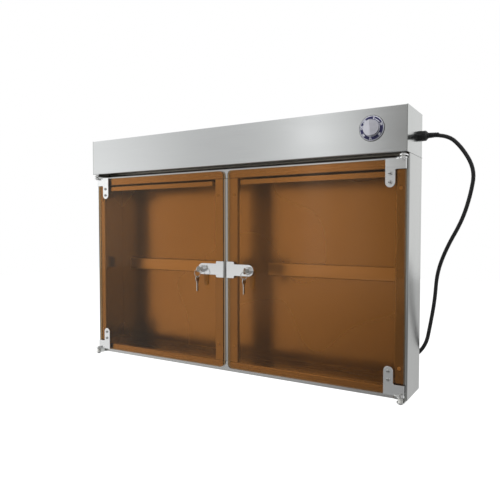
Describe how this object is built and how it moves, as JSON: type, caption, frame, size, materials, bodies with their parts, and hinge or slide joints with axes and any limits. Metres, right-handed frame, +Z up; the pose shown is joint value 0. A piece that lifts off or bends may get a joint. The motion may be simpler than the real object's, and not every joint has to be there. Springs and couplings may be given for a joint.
{
  "type": "knife sterilizer cabinet",
  "caption": "Wall cabinet in stainless steel for disinfecting knives with ultraviolet light: timer head, tinted lockable doors, magnetic bars, mains cord.",
  "frame": {"origin": "centre of the four wall-hanging holes, in the plane of the wall", "axes": "+X to the viewer's right, +Y towards the wall, +Z up"},
  "size_m": [1.0116, 0.1862, 0.6153],
  "materials": {
    "head_steel": "horizontally brushed stainless steel, semi-bright",
    "body_steel": "brushed stainless steel",
    "back_steel": "plain stainless sheet",
    "liner_steel": "semi-bright stainless sheet that mirrors softly",
    "shade_steel": "bright stainless reflector",
    "tinted_acrylic": "clear amber acrylic, polished",
    "bracket_steel": "finely brushed plate with softened edges",
    "screw_steel": "bright stainless screws",
    "bush_plastic": "natural nylon",
    "bumper_rubber": "clear soft pads",
    "lock_chrome": "bright plated",
    "cam_steel": "zinc-plated pressed steel",
    "key_steel": "nickel-plated brass",
    "lamp_glass": "clear tube with metal end caps",
    "holder_plastic": "white moulded",
    "bar_steel": "brushed stainless cover",
    "magnet": "dark sintered",
    "standoff_steel": "turned",
    "ballast_steel": "lacquered laminations",
    "starter_plastic": "white moulded",
    "terminal_plastic": "ivory moulded",
    "timer_case": "dark moulded case",
    "dial_plastic": "pale plate with a navy number ring",
    "knob_plastic": "grey moulded",
    "gland_plastic": "black nylon",
    "cord_rubber": "black flexible sheath",
    "tie_plastic": "black strap",
    "plug_plastic": "black moulded"
  },
  "bodies": {
    "cabinet": {"head_shell": "head_steel", "head_end_right": "head_steel", "head_end_left": "head_steel", "side_wall_right": "body_steel", "side_wall_left": "body_steel", "bottom_pan": "body_steel", "ceiling_panel": "body_steel", "centre_mullion": "body_steel", "slot_spacer": "body_steel", "back_panel": "back_steel", "wall_rail_upper": "back_steel", "hook_rail": "back_steel", "wall_rail_lower": "back_steel", "rear_liner": "liner_steel", "lamp_shade_right": "shade_steel", "lamp_shade_left": "shade_steel", "hinge_plates_top": "bracket_steel", "hinge_plates_bottom": "bracket_steel", "pivot_screws": "screw_steel", "rail_screws": "screw_steel", "pivot_bushes": "bush_plastic", "door_bumpers": "bumper_rubber", "uv_lamp_right": "lamp_glass", "uv_lamp_left": "lamp_glass", "lamp_holders": "holder_plastic", "knife_bar_right": "bar_steel", "knife_bar_left": "bar_steel", "bar_magnets": "magnet", "bar_standoffs": "standoff_steel", "ballasts": "ballast_steel", "starters": "starter_plastic", "terminal_block": "terminal_plastic", "timer_body": "timer_case", "timer_dial": "dial_plastic", "cable_gland": "gland_plastic", "power_cord": "cord_rubber", "cord_coil": "cord_rubber", "cord_tail": "cord_rubber", "cord_tie": "tie_plastic", "plug": "plug_plastic"},
    "door_right": {"door_panel_right": "tinted_acrylic", "door_brackets_right": "bracket_steel", "bracket_screws_right": "screw_steel", "lock_plate_right": "bracket_steel", "lock_housing_right": "lock_chrome"},
    "door_left": {"door_panel_left": "tinted_acrylic", "door_brackets_left": "bracket_steel", "bracket_screws_left": "screw_steel", "lock_plate_left": "bracket_steel", "lock_housing_left": "lock_chrome"},
    "lock_right": {"lock_plug_right": "lock_chrome", "lock_cam_right": "cam_steel", "key_right": "key_steel"},
    "lock_left": {"lock_plug_left": "lock_chrome", "lock_cam_left": "cam_steel", "key_left": "key_steel"},
    "ring_right": {"key_ring_right": "key_steel"},
    "ring_left": {"key_ring_left": "key_steel"},
    "knob": {"timer_knob": "knob_plastic"}
  },
  "joints": [
    {"name": "right_door", "type": "hinge", "parent": "cabinet", "child": "door_right", "pos_m": [0.44, -0.163, 0], "axis": [0, 0, 1], "range_deg": [0, 180]},
    {"name": "left_door", "type": "hinge", "parent": "cabinet", "child": "door_left", "pos_m": [-0.44, -0.163, 0], "axis": [0, 0, -1], "range_deg": [0, 180]},
    {"name": "right_lock", "type": "hinge", "parent": "door_right", "child": "lock_right", "pos_m": [0.069, -0.158, -0.048], "axis": [0, 1, 0], "range_deg": [0, 90]},
    {"name": "left_lock", "type": "hinge", "parent": "door_left", "child": "lock_left", "pos_m": [-0.069, -0.158, -0.048], "axis": [0, -1, 0], "range_deg": [0, 90]},
    {"name": "right_ring_swing", "type": "hinge", "parent": "lock_right", "child": "ring_right", "pos_m": [0.069, -0.1787, -0.04905], "axis": [1, 0, 0], "range_deg": [-45, 12]},
    {"name": "left_ring_swing", "type": "hinge", "parent": "lock_left", "child": "ring_left", "pos_m": [-0.069, -0.1787, -0.04905], "axis": [1, 0, 0], "range_deg": [-45, 12]},
    {"name": "timer_turn", "type": "hinge", "parent": "cabinet", "child": "knob", "pos_m": [0.376, -0.172, 0.2625], "axis": [0, 1, 0], "range_deg": [0, 300]}
  ]
}
